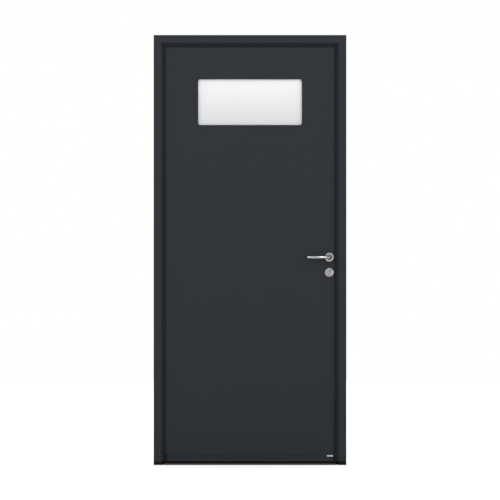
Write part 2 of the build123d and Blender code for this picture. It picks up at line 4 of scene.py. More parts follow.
import bmesh
import bpy
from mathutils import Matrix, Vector


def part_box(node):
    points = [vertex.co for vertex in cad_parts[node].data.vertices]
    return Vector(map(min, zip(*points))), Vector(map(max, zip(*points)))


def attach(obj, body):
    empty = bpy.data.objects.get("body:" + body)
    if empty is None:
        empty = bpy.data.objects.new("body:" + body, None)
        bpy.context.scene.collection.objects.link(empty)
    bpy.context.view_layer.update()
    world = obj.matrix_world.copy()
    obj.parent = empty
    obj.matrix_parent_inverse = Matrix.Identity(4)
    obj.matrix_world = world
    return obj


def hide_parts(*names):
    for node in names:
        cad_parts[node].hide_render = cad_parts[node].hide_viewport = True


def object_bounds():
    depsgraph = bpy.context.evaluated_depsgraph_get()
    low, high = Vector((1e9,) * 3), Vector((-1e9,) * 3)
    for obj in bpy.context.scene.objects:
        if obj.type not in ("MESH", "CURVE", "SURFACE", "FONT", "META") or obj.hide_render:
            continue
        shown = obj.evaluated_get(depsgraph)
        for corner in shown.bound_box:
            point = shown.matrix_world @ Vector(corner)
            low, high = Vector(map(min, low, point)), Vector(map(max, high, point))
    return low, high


# Steel utility door: looks, small fittings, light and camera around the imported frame.
# Sizes are in millimetres where a name or a note says mm, and else in metres.

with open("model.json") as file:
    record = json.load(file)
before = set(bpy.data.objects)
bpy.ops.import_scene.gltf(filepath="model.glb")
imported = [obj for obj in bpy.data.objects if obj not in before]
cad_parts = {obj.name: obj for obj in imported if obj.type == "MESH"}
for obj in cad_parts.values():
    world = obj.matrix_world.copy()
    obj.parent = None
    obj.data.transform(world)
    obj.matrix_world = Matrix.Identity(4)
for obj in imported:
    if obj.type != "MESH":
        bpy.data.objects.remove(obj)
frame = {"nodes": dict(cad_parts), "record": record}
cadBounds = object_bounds()
nodes = frame["nodes"]
mm = 0.001
print("frame loaded:", len(nodes), "nodes")


def linearColour(hexColour):
    # sRGB as picked from a colour card, to the linear values that shaders take
    channels = [int(hexColour[i:i + 2], 16) / 255 for i in (1, 3, 5)]
    return tuple(c / 12.92 if c <= 0.04045 else ((c + 0.055) / 1.055) ** 2.4 for c in channels) + (1.0,)


def addNode(tree, kind, inputs=None, **settings):
    # one node: its settings, then its sockets, each set to a value or linked to another socket
    node = tree.nodes.new(kind)
    for name, value in settings.items():
        setattr(node, name, value)
    for name, value in (inputs or {}).items():
        if isinstance(value, bpy.types.NodeSocket):
            tree.links.new(value, node.inputs[name])
        else:
            node.inputs[name].default_value = value
    return node


def newMaterial(name):
    # an empty material with its output node and the object's own coordinates
    material = bpy.data.materials.new(name)
    material.use_nodes = True
    tree = material.node_tree
    tree.nodes.clear()
    output = addNode(tree, "ShaderNodeOutputMaterial")
    coordinates = addNode(tree, "ShaderNodeTexCoord").outputs["Object"]
    return material, tree, output, coordinates


def cyclesPerMetre(sizeInMillimetres):
    # the scale of a pattern whose waves are this long
    return 1000 / sizeInMillimetres


# Powder coat

powderFilm = {
    "cloudSize": 260, "cloud": 0.06,  # mm, and how far the tone drifts either way
    "patchSize": 45, "patch": 0.03,  # mm, and how far the roughness drifts
    "peelSize": 1.6, "peelDepth": 0.1,  # mm
}
powderCoats = {
    # sheen is 0.5 for a clear gloss coat and less for a matted one
    "framePowderCoat": {"colour": "#242a2f", "roughness": 0.54, "sheen": 0.3, "peel": 0.10},
    "leafPowderCoat": {"colour": "#24292e", "roughness": 0.54, "sheen": 0.3, "peel": 0.10},
    "dripBarPowderCoat": {"colour": "#242a2f", "roughness": 0.52, "sheen": 0.3, "peel": 0.07},
    "beadPowderCoat": {"colour": "#24292e", "roughness": 0.54, "sheen": 0.3, "peel": 0.08},
    "hingePowderCoat": {"colour": "#24292e", "roughness": 0.52, "sheen": 0.3, "peel": 0.08},
}


def powderCoat(name, look):
    # Polyester powder with a matting filler, sprayed dry and stoved: an even anthracite grey
    # with a low satin sheen, fine orange peel, and slight clouds where the film is thicker.
    material, tree, output, coordinates = newMaterial(name)
    cloud = addNode(
        tree, "ShaderNodeTexNoise",
        {"Vector": coordinates, "Scale": cyclesPerMetre(powderFilm["cloudSize"]), "Detail": 3.0},
    )
    tone = addNode(
        tree, "ShaderNodeMapRange",
        {"Value": cloud.outputs["Fac"], "To Min": 1 - powderFilm["cloud"], "To Max": 1 + powderFilm["cloud"]},
    )
    colour = addNode(
        tree, "ShaderNodeMix", {"Factor": 1.0, "A": linearColour(look["colour"]), "B": tone.outputs["Result"]},
        data_type="RGBA", blend_type="MULTIPLY",
    )
    patches = addNode(
        tree, "ShaderNodeTexNoise",
        {"Vector": coordinates, "Scale": cyclesPerMetre(powderFilm["patchSize"]), "Detail": 4.0},
    )
    roughness = addNode(
        tree, "ShaderNodeMapRange",
        {"Value": patches.outputs["Fac"], "To Min": look["roughness"] - powderFilm["patch"],
         "To Max": look["roughness"] + powderFilm["patch"]},
    )
    # orange peel of a thin satin coat, very shallow
    peel = addNode(
        tree, "ShaderNodeTexNoise",
        {"Vector": coordinates, "Scale": cyclesPerMetre(powderFilm["peelSize"]), "Detail": 2.0},
    )
    bump = addNode(
        tree, "ShaderNodeBump",
        {"Height": peel.outputs["Fac"], "Strength": look["peel"], "Distance": powderFilm["peelDepth"] * mm},
    )
    surface = addNode(
        tree, "ShaderNodeBsdfPrincipled",
        {"Base Color": colour.outputs["Result"], "Roughness": roughness.outputs["Result"],
         "IOR": 1.5, "Specular IOR Level": look["sheen"], "Normal": bump.outputs["Normal"]},
    )
    tree.links.new(surface.outputs["BSDF"], output.inputs["Surface"])
    return material


# Plastics and rubber

bloom = {"size": 30, "darkest": 0.85, "palest": 1.2, "roughnessSpread": 0.06}  # mm, faint pale film
blackPolymers = {
    # grain and depth in mm, the grain along x, y and z
    "blackMouldedPlastic": {"colour": "#0b0b0c", "roughness": 0.72, "sheen": 0.3,
                            "grain": (0.5, 0.5, 0.5), "depth": 0.05},
    "blackGasketRubber": {"colour": "#17181a", "roughness": 0.75, "sheen": 0.4,
                          "grain": (0.7, 0.7, 25.0), "depth": 0.04},
    "blackGlazingRubber": {"colour": "#151617", "roughness": 0.66, "sheen": 0.4,
                           "grain": (0.9, 0.9, 0.9), "depth": 0.03},
}


def blackPolymer(name, look):
    # Polypropylene from a spark-eroded mould, or EPDM drawn through a die: deep black,
    # matt, with the tool's fine grain, which runs along the length on what is extruded.
    material, tree, output, coordinates = newMaterial(name)
    along = addNode(
        tree, "ShaderNodeMapping",
        {"Vector": coordinates, "Scale": tuple(cyclesPerMetre(size) for size in look["grain"])},
    )
    grain = addNode(
        tree, "ShaderNodeTexNoise", {"Vector": along.outputs["Vector"], "Scale": 1.0, "Detail": 2.0},
    )
    film = addNode(
        tree, "ShaderNodeTexNoise",
        {"Vector": coordinates, "Scale": cyclesPerMetre(bloom["size"]), "Detail": 3.0},
    )
    tone = addNode(
        tree, "ShaderNodeMapRange",
        {"Value": film.outputs["Fac"], "To Min": bloom["darkest"], "To Max": bloom["palest"]},
    )
    colour = addNode(
        tree, "ShaderNodeMix", {"Factor": 1.0, "A": linearColour(look["colour"]), "B": tone.outputs["Result"]},
        data_type="RGBA", blend_type="MULTIPLY",
    )
    roughness = addNode(
        tree, "ShaderNodeMapRange",
        {"Value": grain.outputs["Fac"], "To Min": look["roughness"] - bloom["roughnessSpread"],
         "To Max": look["roughness"] + bloom["roughnessSpread"]},
    )
    bump = addNode(
        tree, "ShaderNodeBump",
        {"Height": grain.outputs["Fac"], "Strength": 0.3, "Distance": look["depth"] * mm},
    )
    surface = addNode(
        tree, "ShaderNodeBsdfPrincipled",
        {"Base Color": colour.outputs["Result"], "Roughness": roughness.outputs["Result"],
         "IOR": 1.49, "Specular IOR Level": look["sheen"], "Normal": bump.outputs["Normal"]},
    )
    tree.links.new(surface.outputs["BSDF"], output.inputs["Surface"])
    return material


# Metals

# the grain's tones either side of the metal's own, and the size of rubbed patches in mm
wornMetal = {"darkest": 0.90, "palest": 1.06, "patchSize": 22}
metals = {
    # fine satin brushing with a belt, along the grip; lines are drawn 0.4 mm apart to show
    "brushedStainless": {"colour": "#dcdbdc", "roughness": 0.19, "spread": 0.05, "grain": (30.0, 0.4, 0.4),
                         "depth": 0.012},
    # dull nickel over brass, tumbled before plating: close grain with no direction
    "satinNickel": {"colour": "#aaa7a3", "roughness": 0.36, "spread": 0.05, "grain": (0.6, 0.6, 0.6),
                    "depth": 0.01},
    # bright zinc on cold rolled steel, clear passivated: faintly cloudy, blue to straw
    "zincPlatedSteel": {"colour": "#c3c6c8", "roughness": 0.33, "spread": 0.10, "grain": (9.0, 9.0, 9.0),
                        "depth": 0.01},
    # dark bronze anodising over an etched extrusion: soft sheen with die lines along the sill
    "bronzeAnodisedAluminium": {"colour": "#574b48", "roughness": 0.42, "spread": 0.06, "grain": (160.0, 1.2, 1.2),
                                "depth": 0.02},
    # roll-formed strip as it leaves the mill
    "millAluminium": {"colour": "#c9cbcc", "roughness": 0.38, "spread": 0.06, "grain": (60.0, 0.8, 60.0),
                      "depth": 0.01},
}


def metal(name, look):
    # Bare or plated metal: grain the way it was worked, which catches the light unevenly.
    material, tree, output, coordinates = newMaterial(name)
    along = addNode(
        tree, "ShaderNodeMapping",
        {"Vector": coordinates, "Scale": tuple(cyclesPerMetre(size) for size in look["grain"])},
    )
    grain = addNode(
        tree, "ShaderNodeTexNoise", {"Vector": along.outputs["Vector"], "Scale": 1.0, "Detail": 3.0},
    )
    rub = addNode(
        tree, "ShaderNodeTexNoise",
        {"Vector": coordinates, "Scale": cyclesPerMetre(wornMetal["patchSize"]), "Detail": 2.0},
    )
    tone = addNode(
        tree, "ShaderNodeMapRange",
        {"Value": grain.outputs["Fac"], "To Min": wornMetal["darkest"], "To Max": wornMetal["palest"]},
    )
    colour = addNode(
        tree, "ShaderNodeMix", {"Factor": 1.0, "A": linearColour(look["colour"]), "B": tone.outputs["Result"]},
        data_type="RGBA", blend_type="MULTIPLY",
    )
    mixed = addNode(
        tree, "ShaderNodeMath", {0: grain.outputs["Fac"], 1: rub.outputs["Fac"]}, operation="MULTIPLY",
    )
    # two patterns multiplied lie mostly between 0.1 and 0.4
    roughness = addNode(
        tree, "ShaderNodeMapRange",
        {"Value": mixed.outputs["Value"], "From Min": 0.1, "From Max": 0.4,
         "To Min": look["roughness"] - look["spread"], "To Max": look["roughness"] + look["spread"]},
    )
    bump = addNode(
        tree, "ShaderNodeBump",
        {"Height": grain.outputs["Fac"], "Strength": 0.4, "Distance": look["depth"] * mm},
    )
    surface = addNode(
        tree, "ShaderNodeBsdfPrincipled",
        {"Base Color": colour.outputs["Result"], "Roughness": roughness.outputs["Result"],
         "Metallic": 1.0, "Normal": bump.outputs["Normal"]},
    )
    tree.links.new(surface.outputs["BSDF"], output.inputs["Surface"])
    return material


# Glass

sandblasted = {
    # the two tints paint light at the top of the pane and shade at its foot
    "paintedLightTintAbove": "#fffdff", "paintedShadeTintBelow": "#e2e0e3",  # at the top and the foot of the pane
    "roughness": 0.62, "spread": 0.08,
    "grainSize": 1.4, "grainDepth": 0.05,  # mm
}
floatGlass = {"tint": "#fafdfb", "roughness": 0.0, "waveSize": 90, "waveDepth": 0.2}  # mm


def sandblastedGlass():
    # Float glass blasted with fine grit on its hidden face: milky, with a soft grain, and painted shade that greys
    # it towards the foot.
    material, tree, output, coordinates = newMaterial("sandblastedGlass")
    # the grit is about 0.15 mm and too fine to show, so it is drawn some ten times coarser
    grit = addNode(
        tree, "ShaderNodeTexNoise",
        {"Vector": coordinates, "Scale": cyclesPerMetre(sandblasted["grainSize"]), "Detail": 3.0},
    )
    roughness = addNode(
        tree, "ShaderNodeMapRange",
        {"Value": grit.outputs["Fac"], "To Min": sandblasted["roughness"] - sandblasted["spread"],
         "To Max": sandblasted["roughness"] + sandblasted["spread"]},
    )
    bump = addNode(
        tree, "ShaderNodeBump",
        {"Height": grit.outputs["Fac"], "Strength": 0.35, "Distance": sandblasted["grainDepth"] * mm},
    )
    # painted light and shade: the tint is paler at the top of the pane and greyer towards its foot, standing in
    # for how the light falls through it
    low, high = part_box("glass_outside")
    place = addNode(tree, "ShaderNodeSeparateXYZ", {"Vector": coordinates})
    height = addNode(
        tree, "ShaderNodeMapRange", {"Value": place.outputs["Z"], "From Min": low.z, "From Max": high.z},
    )
    colour = addNode(
        tree, "ShaderNodeMix",
        {"Factor": height.outputs["Result"], "A": linearColour(sandblasted["paintedShadeTintBelow"]),
         "B": linearColour(sandblasted["paintedLightTintAbove"])},
        data_type="RGBA",
    )
    surface = addNode(
        tree, "ShaderNodeBsdfPrincipled",
        {"Base Color": colour.outputs["Result"], "Roughness": roughness.outputs["Result"],
         "IOR": 1.52, "Transmission Weight": 1.0, "Normal": bump.outputs["Normal"]},
    )
    tree.links.new(surface.outputs["BSDF"], output.inputs["Surface"])
    return material


def clearFloatGlass():
    # Clear float glass, with the last trace of the tin bath's waviness and a cool green edge.
    material, tree, output, coordinates = newMaterial("clearFloatGlass")
    wave = addNode(
        tree, "ShaderNodeTexNoise",
        {"Vector": coordinates, "Scale": cyclesPerMetre(floatGlass["waveSize"]), "Detail": 1.0},
    )
    bump = addNode(
        tree, "ShaderNodeBump",
        {"Height": wave.outputs["Fac"], "Strength": 0.05, "Distance": floatGlass["waveDepth"] * mm},
    )
    surface = addNode(
        tree, "ShaderNodeBsdfPrincipled",
        {"Base Color": linearColour(floatGlass["tint"]), "Roughness": floatGlass["roughness"],
         "IOR": 1.52, "Transmission Weight": 1.0, "Normal": bump.outputs["Normal"]},
    )
    tree.links.new(surface.outputs["BSDF"], output.inputs["Surface"])
    return material


# Foam and lacquer

foam = {"colour": "#cfbd8c", "roughness": 0.9, "darkest": 0.85, "palest": 1.05,
        "cellSize": 1.5, "cellDepth": 0.4}  # mm
lacquer = {"colour": "#d3d6de", "roughness": 0.38, "darkest": 0.94, "palest": 1.04, "fleckSize": 0.8}  # mm


def polyurethaneFoam():
    # Rigid foam, sawn from the block: straw yellow with cut cells.
    material, tree, output, coordinates = newMaterial("polyurethaneFoam")
    cells = addNode(
        tree, "ShaderNodeTexVoronoi", {"Vector": coordinates, "Scale": cyclesPerMetre(foam["cellSize"])},
    )
    tone = addNode(
        tree, "ShaderNodeMapRange",
        {"Value": cells.outputs["Distance"], "To Min": foam["darkest"], "To Max": foam["palest"]},
    )
    colour = addNode(
        tree, "ShaderNodeMix", {"Factor": 1.0, "A": linearColour(foam["colour"]), "B": tone.outputs["Result"]},
        data_type="RGBA", blend_type="MULTIPLY",
    )
    bump = addNode(
        tree, "ShaderNodeBump",
        {"Height": cells.outputs["Distance"], "Strength": 0.6, "Distance": foam["cellDepth"] * mm},
    )
    surface = addNode(
        tree, "ShaderNodeBsdfPrincipled",
        {"Base Color": colour.outputs["Result"], "Roughness": foam["roughness"], "Normal": bump.outputs["Normal"]},
    )
    tree.links.new(surface.outputs["BSDF"], output.inputs["Surface"])
    return material


def silverLacquer():
    # Thin aluminium plate under pale silver lacquer, left blank: light grey, faintly blue.
    material, tree, output, coordinates = newMaterial("silverLacquer")
    fleck = addNode(
        tree, "ShaderNodeTexNoise",
        {"Vector": coordinates, "Scale": cyclesPerMetre(lacquer["fleckSize"]), "Detail": 2.0},
    )
    tone = addNode(
        tree, "ShaderNodeMapRange",
        {"Value": fleck.outputs["Fac"], "To Min": lacquer["darkest"], "To Max": lacquer["palest"]},
    )
    colour = addNode(
        tree, "ShaderNodeMix", {"Factor": 1.0, "A": linearColour(lacquer["colour"]), "B": tone.outputs["Result"]},
        data_type="RGBA", blend_type="MULTIPLY",
    )
    surface = addNode(
        tree, "ShaderNodeBsdfPrincipled",
        {"Base Color": colour.outputs["Result"], "Roughness": lacquer["roughness"], "IOR": 1.5},
    )
    tree.links.new(surface.outputs["BSDF"], output.inputs["Surface"])
    return material


materials = {name: powderCoat(name, look) for name, look in powderCoats.items()}
materials.update({name: blackPolymer(name, look) for name, look in blackPolymers.items()})
materials.update({name: metal(name, look) for name, look in metals.items()})
materials["sandblastedGlass"] = sandblastedGlass()
materials["clearFloatGlass"] = clearFloatGlass()
materials["polyurethaneFoam"] = polyurethaneFoam()
materials["silverLacquer"] = silverLacquer()

# which finish each slot of the record gets
slotFinish = {
    "frame_paint": "framePowderCoat",
    "door_paint": "leafPowderCoat",
    "drip_paint": "dripBarPowderCoat",
    "bead_paint": "beadPowderCoat",
    "hinge_steel": "hingePowderCoat",
    "black_plastic": "blackMouldedPlastic",
    "black_rubber": "blackGasketRubber",
    "dark_anodised": "bronzeAnodisedAluminium",
    "foam": "polyurethaneFoam",
    "frosted_glass": "sandblastedGlass",
    "clear_glass": "clearFloatGlass",
    "spacer_metal": "millAluminium",
    "plated_steel": "zincPlatedSteel",
    "satin_stainless": "brushedStainless",
    "satin_nickel": "satinNickel",
}
slotOf = {part["node"]: part["material_slot"] for part in frame["record"]["subparts"]}
for nodeName, node in nodes.items():
    finish = slotFinish[slotOf[nodeName]]
    # the rubber round the light is a little shinier than the seals
    if nodeName in ("glazing_rim_outside", "glazing_seal_inside"):
        finish = "blackGlazingRubber"
    for materialSlot in node.material_slots:
        materialSlot.material = materials[finish]
print("materials made:", len(materials))


# Places that the fittings take from the frame

def middle(nodeName):
    low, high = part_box(nodeName)
    return (low + high) / 2


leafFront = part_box("leaf_skin_outside")[0].y
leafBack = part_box("leaf_skin_inside")[1].y
spindleAxis = middle("spindle")


def addPiece(name, mesh, body, finish, smooth=True):
    # a finished bmesh becomes a piece that rides on its body
    data = bpy.data.meshes.new(name)
    bmesh.ops.recalc_face_normals(mesh, faces=mesh.faces)
    mesh.to_mesh(data)
    mesh.free()
    data.materials.append(materials[finish])
    for face in data.polygons:
        face.use_smooth = smooth
    piece = bpy.data.objects.new(name, data)
    bpy.context.scene.collection.objects.link(piece)
    if smooth:
        data.set_sharp_from_angle(angle=math.radians(35))
    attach(piece, body)
    return piece


def bridge(mesh, ringA, ringB):
    # quads between two closed rings of as many points
    for i in range(len(ringA)):
        j = (i + 1) % len(ringA)
        mesh.faces.new((ringA[i], ringA[j], ringB[j], ringB[i]))


# Levers

lever = {
    "collarRadius": 9.5,  # mm, the part that turns in the rose
    "collarStart": 2.0, "collarEnd": 16.0,  # mm from the leaf
    "shoulder": 1.2,  # mm, rounding where the collar steps in
    "neckRadius": 8.3,
    "barRadius": 5.5,  # mm, at the elbow
    "elbowRadius": 8.0,
    "projection": 52.0,  # mm from the leaf to the grip's axis
    "reach": 117.0,  # mm from the spindle to the tip
    # the grip's radius at distances from the spindle, mm
    "gripRadii": ((8, 5.5), (16, 5.7), (31, 6.8), (50, 8.5), (73, 9.2), (92, 8.6), (108, 7.6)),
    "tipRadius": 7.0,
    "tipTurn": 88,  # degrees of the tip's rounding, which leaves a small flat end to close
    # rings on each stretch, and sides round
    "shoulderSteps": 4, "neckSteps": 8, "elbowSteps": 16, "gripSteps": 40, "tipSteps": 8, "sides": 48,
}


def throughPoints(points, x):
    # a smooth curve through (x, y) points, with each slope taken from its neighbours
    for k in range(len(points) - 1):
        if x <= points[k + 1][0]:
            break
    (x0, y0), (x1, y1) = points[k], points[k + 1]
    before = points[max(k - 1, 0)]
    after = points[min(k + 2, len(points) - 1)]
    slope0 = (y1 - before[1]) / (x1 - before[0])
    slope1 = (after[1] - y0) / (after[0] - x0)
    t = (x - x0) / (x1 - x0)
    span = x1 - x0
    return (
        (2 * t ** 3 - 3 * t ** 2 + 1) * y0 + (t ** 3 - 2 * t ** 2 + t) * span * slope0
        + (3 * t ** 2 - 2 * t ** 3) * y1 + (t ** 3 - t ** 2) * span * slope1
    )


def leverLine():
    # rings along the lever: (distance towards the tip, distance from the leaf, turn, radius), mm and radians
    rings = [(0, lever["collarStart"], 0, lever["collarRadius"])]
    for k in range(lever["shoulderSteps"] + 1):
        a = math.radians(90 * k / lever["shoulderSteps"])
        rings.append((
            0, lever["collarEnd"] - lever["shoulder"] * (1 - math.sin(a)), 0,
            lever["collarRadius"] - lever["shoulder"] * (1 - math.cos(a)),
        ))
    elbowStart = lever["projection"] - lever["elbowRadius"]
    for k in range(1, lever["neckSteps"] + 1):
        t = k / lever["neckSteps"]
        ease = t * t * (3 - 2 * t)
        rings.append((
            0, lever["collarEnd"] + (elbowStart - lever["collarEnd"]) * t, 0,
            lever["neckRadius"] + (lever["barRadius"] - lever["neckRadius"]) * ease,
        ))
    for k in range(1, lever["elbowSteps"] + 1):
        a = math.radians(90 * k / lever["elbowSteps"])
        rings.append((
            lever["elbowRadius"] * (1 - math.cos(a)), elbowStart + lever["elbowRadius"] * math.sin(a), a,
            lever["barRadius"],
        ))
    gripEnd = lever["reach"] - lever["tipRadius"]
    gripPoints = list(lever["gripRadii"]) + [(gripEnd, lever["tipRadius"])]
    for k in range(1, lever["gripSteps"] + 1):
        along = lever["elbowRadius"] + (gripEnd - lever["elbowRadius"]) * k / lever["gripSteps"]
        rings.append((along, lever["projection"], math.pi / 2, throughPoints(gripPoints, along)))
    for k in range(1, lever["tipSteps"] + 1):
        a = math.radians(lever["tipTurn"] * k / lever["tipSteps"])
        rings.append((
            gripEnd + lever["tipRadius"] * math.sin(a), lever["projection"], math.pi / 2,
            lever["tipRadius"] * math.cos(a),
        ))
    return rings


def leverPiece(name, faceY, outward, cadNode):
    mesh = bmesh.new()
    loops = []
    for along, out, turn, radius in leverLine():
        loop = []
        for i in range(lever["sides"]):
            a = 2 * math.pi * i / lever["sides"]
            side, up = radius * math.cos(a), radius * math.sin(a)
            x = along - side * math.cos(turn)
            y = out + side * math.sin(turn)
            loop.append(mesh.verts.new((
                spindleAxis.x - x * mm, faceY + outward * y * mm, spindleAxis.z + up * mm,
            )))
        loops.append(loop)
    for first, second in zip(loops, loops[1:]):
        bridge(mesh, first, second)
    mesh.faces.new(loops[0])
    mesh.faces.new(loops[-1])
    piece = addPiece(name, mesh, "handle", "brushedStainless")
    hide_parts(cadNode)


leverPiece("lever_smooth_outside", leafFront, -1, "lever_outside")
leverPiece("lever_smooth_inside", leafBack, 1, "lever_inside")
print("levers made")


# Roses, their bearings and the cylinder's plugs

def turned(mesh, centre, axis, across, profile, sides, closed=True):
    # revolves (radius, height) pairs in mm about an axis; a radius may depend on the angle.
    # The last ring can be closed, and the first stays open where it sits in another piece.
    up = axis.cross(across)
    loops = []
    for radius, height in profile:
        loop = []
        for i in range(sides):
            a = 2 * math.pi * i / sides
            reach = radius(a) if callable(radius) else radius
            loop.append(mesh.verts.new(
                centre + (across * math.cos(a) + up * math.sin(a)) * reach * mm + axis * height * mm
            ))
        loops.append(loop)
    for first, second in zip(loops, loops[1:]):
        bridge(mesh, first, second)
    if closed:
        mesh.faces.new(loops[-1])


# the black ring that the neck turns in, mm: it sits a little in the rose and lines its hole
bearing = {"inner": 9.75, "outer": 13.4, "proud": 0.5, "eased": 0.2, "seat": 0.3, "lining": 2.0, "sides": 64}


def bearingRing(name, roseNode, outward):
    low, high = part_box(roseNode)
    axis = Vector((0, outward, 0))
    faceY = low.y if outward < 0 else high.y
    centre = Vector((spindleAxis.x, faceY, spindleAxis.z))
    mesh = bmesh.new()
    turned(
        mesh, centre, axis, Vector((1, 0, 0)),
        [(bearing["outer"], -bearing["seat"]), (bearing["outer"], bearing["proud"] - bearing["eased"]),
         (bearing["outer"] - bearing["eased"], bearing["proud"]), (bearing["inner"], bearing["proud"]),
         (bearing["inner"], -bearing["lining"])],
        bearing["sides"], closed=False,
    )
    addPiece(name, mesh, "leaf", "blackMouldedPlastic")


bearingRing("neck_bearing_outside", "rose_outside", -1)
bearingRing("neck_bearing_inside", "rose_inside", 1)

# the face that the key turns, mm
plug = {"radius": 6.4, "proud": 0.35, "bevel": 0.2, "slotWidth": 1.8, "slotHeight": 8.0, "slotDepth": 5.0,
        "seat": 0.1, "sides": 96}
cylinderLow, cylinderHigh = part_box("key_cylinder")
# the cylinder's round part is at its top
cylinderRadius = (cylinderHigh.x - cylinderLow.x) / 2
plugCentreZ = cylinderHigh.z - cylinderRadius


def slotReach(a):
    # from the middle of the keyway to its edge, in the direction of an angle
    toSide = plug["slotWidth"] / 2 / max(abs(math.cos(a)), 1e-6)
    toEnd = plug["slotHeight"] / 2 / max(abs(math.sin(a)), 1e-6)
    return min(toSide, toEnd)


def plugFace(name, faceY, outward):
    mesh = bmesh.new()
    turned(
        mesh, Vector((spindleAxis.x, faceY, plugCentreZ)), Vector((0, outward, 0)), Vector((1, 0, 0)),
        [(plug["radius"], -plug["seat"]), (plug["radius"], plug["proud"] - plug["bevel"]),
         (plug["radius"] - plug["bevel"], plug["proud"]), (slotReach, plug["proud"]),
         (slotReach, -plug["slotDepth"])],
        plug["sides"],
    )
    addPiece(name, mesh, "leaf", "satinNickel")


plugFace("cylinder_plug_outside", cylinderLow.y, -1)
plugFace("cylinder_plug_inside", cylinderHigh.y, 1)
print("bearings and plugs made")


# Screws

screw = {
    "sides": 48, "lobes": 6,
    # shares of the head's radius
    "recessRadius": 0.42, "lobe": 0.065, "recessDepth": 0.45, "crown": 0.012, "rim": 0.08, "shoulder": 0.7,
    "wallHeight": 0.4, "rimHeight": 0.8,  # shares of what stands proud
    "seat": 0.2,  # mm
}


def screwHeads(name, radius, places, axis, across, body, finish, proud=0.3):
    # countersunk heads with a six-lobed recess, joined in one piece; radius and proud in mm
    mesh = bmesh.new()

    def recess(a):
        return radius * (screw["recessRadius"] + screw["lobe"] * math.cos(screw["lobes"] * a))

    for place in places:
        turned(
            mesh, place, axis, across,
            [(radius, -screw["seat"]), (radius, proud * screw["wallHeight"]),
             (radius * (1 - screw["rim"]), proud * screw["rimHeight"]),
             (radius * screw["shoulder"], proud), (recess, proud + radius * screw["crown"]),
             (recess, proud - radius * screw["recessDepth"])],
            screw["sides"],
        )
    addPiece(name, mesh, body, finish)


hingeLevels = ("low", "middle", "top")
# mm: head radius, distance from the middle one and from the flap's edge, thickness of the flap
hingeScrew = {"radius": 4.6, "spread": 35.0, "fromEdge": 11.0, "flap": 3.0}
backward = Vector((0, 1, 0))
sideways = Vector((1, 0, 0))
upward = Vector((0, 0, 1))
flapFace = leafBack + hingeScrew["flap"] * mm
for body in ("frame", "leaf"):
    places = []
    for level in hingeLevels:
        low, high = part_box(f"hinge_{level}_{body}_half")
        # each flap's outer edge is on the side away from the barrel
        if body == "frame":
            x = low.x + hingeScrew["fromEdge"] * mm
        else:
            x = high.x - hingeScrew["fromEdge"] * mm
        for step in (-1, 0, 1):
            z = (low.z + high.z) / 2 + step * hingeScrew["spread"] * mm
            places.append(Vector((x, flapFace, z)))
    screwHeads(
        f"hinge_screws_{body}", hingeScrew["radius"], places, backward, sideways, body,
        "zincPlatedSteel",
    )

plateScrew = {"radius": 3.9, "fromEnd": 10.0}  # mm
plateLow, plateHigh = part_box("lock_faceplate")
plateMiddle = middle("lock_faceplate")
faceplatePlaces = [
    Vector((plateHigh.x, plateMiddle.y, plateLow.z + plateScrew["fromEnd"] * mm)),
    Vector((plateHigh.x, plateMiddle.y, plateHigh.z - plateScrew["fromEnd"] * mm)),
    Vector((plateHigh.x, plateMiddle.y, plugCentreZ)),  # this one holds the cylinder
]
screwHeads(
    "faceplate_screws", plateScrew["radius"], faceplatePlaces, sideways, upward, "leaf",
    "zincPlatedSteel", proud=0.15,
)
strikeLow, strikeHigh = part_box("strike_plate")
strikeMiddle = middle("strike_plate")
strikePlaces = [
    Vector((strikeLow.x, strikeMiddle.y, strikeLow.z + plateScrew["fromEnd"] * mm)),
    Vector((strikeLow.x, strikeMiddle.y, strikeHigh.z - plateScrew["fromEnd"] * mm)),
]
screwHeads(
    "strike_screws", plateScrew["radius"], strikePlaces, -sideways, upward, "frame",
    "zincPlatedSteel", proud=0.15,
)
print("screws made")


# Blank tag on the drip bar

tag = {"width": 32.0, "height": 7.0, "thickness": 0.8, "corner": 1.2, "cornerSteps": 6, "eased": 0.2,
       "x": 407.7, "z": 46.0}  # mm
dripLipFlare = 4.0  # mm, how far the lip stands out before the bar's face
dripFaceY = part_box("drip_bar")[0].y + dripLipFlare * mm


def blankTag():
    mesh = bmesh.new()
    outline = []
    halfWidth, halfHeight = tag["width"] / 2, tag["height"] / 2
    for cornerX, cornerZ, start in ((1, 1, 0), (-1, 1, 90), (-1, -1, 180), (1, -1, 270)):
        for k in range(tag["cornerSteps"] + 1):
            a = math.radians(start + 90 * k / tag["cornerSteps"])
            outline.append((
                cornerX * (halfWidth - tag["corner"]) + tag["corner"] * math.cos(a),
                cornerZ * (halfHeight - tag["corner"]) + tag["corner"] * math.sin(a),
            ))
    rings = []
    for depth, shrink in ((0.0, 0.0), (tag["thickness"] - tag["eased"], 0.0), (tag["thickness"], tag["eased"])):
        rings.append([
            mesh.verts.new((
                (tag["x"] + x * (1 - shrink / halfWidth)) * mm, dripFaceY - depth * mm,
                (tag["z"] + z * (1 - shrink / halfHeight)) * mm,
            ))
            for x, z in outline
        ])
    for first, second in zip(rings, rings[1:]):
        bridge(mesh, first, second)
    mesh.faces.new(rings[0])
    mesh.faces.new(rings[-1])
    addPiece("blank_tag", mesh, "leaf", "silverLacquer")


blankTag()
print("tag made")


# Studio

